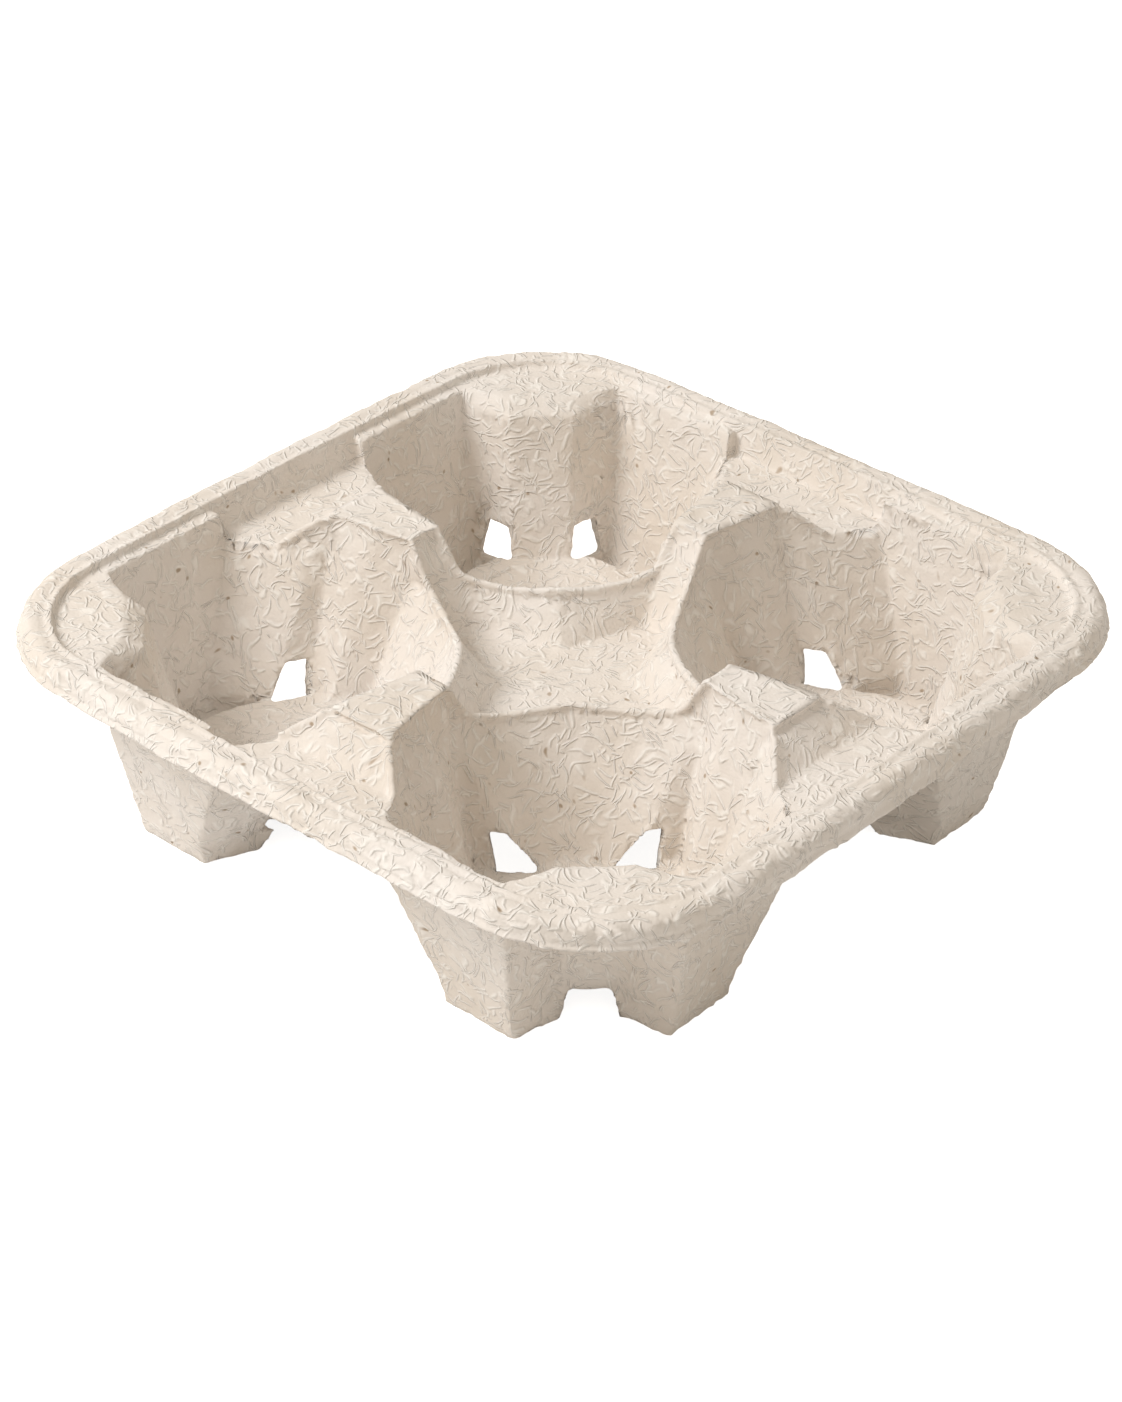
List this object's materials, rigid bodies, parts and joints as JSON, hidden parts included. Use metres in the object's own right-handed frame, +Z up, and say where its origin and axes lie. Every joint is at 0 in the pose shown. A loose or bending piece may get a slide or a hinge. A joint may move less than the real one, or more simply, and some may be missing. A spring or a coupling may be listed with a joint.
{
  "type": "cup carrier tray",
  "caption": "Moulded pulp cup carrier: a square tray with rounded corners, deep cup pockets with panelled walls, ridges between them, a central basin, a rolled rim and hollow feet.",
  "frame": {"origin": "middle of the tray, on the plane that its feet stand on", "axes": "+Z up out of the pockets, X and Y along the sides of the tray"},
  "size_m": [0.21, 0.21, 0.0515],
  "materials": {
    "carrier_tray": "matte"
  },
  "bodies": {
    "root": {"carrier_tray": "carrier_tray"}
  },
  "joints": []
}
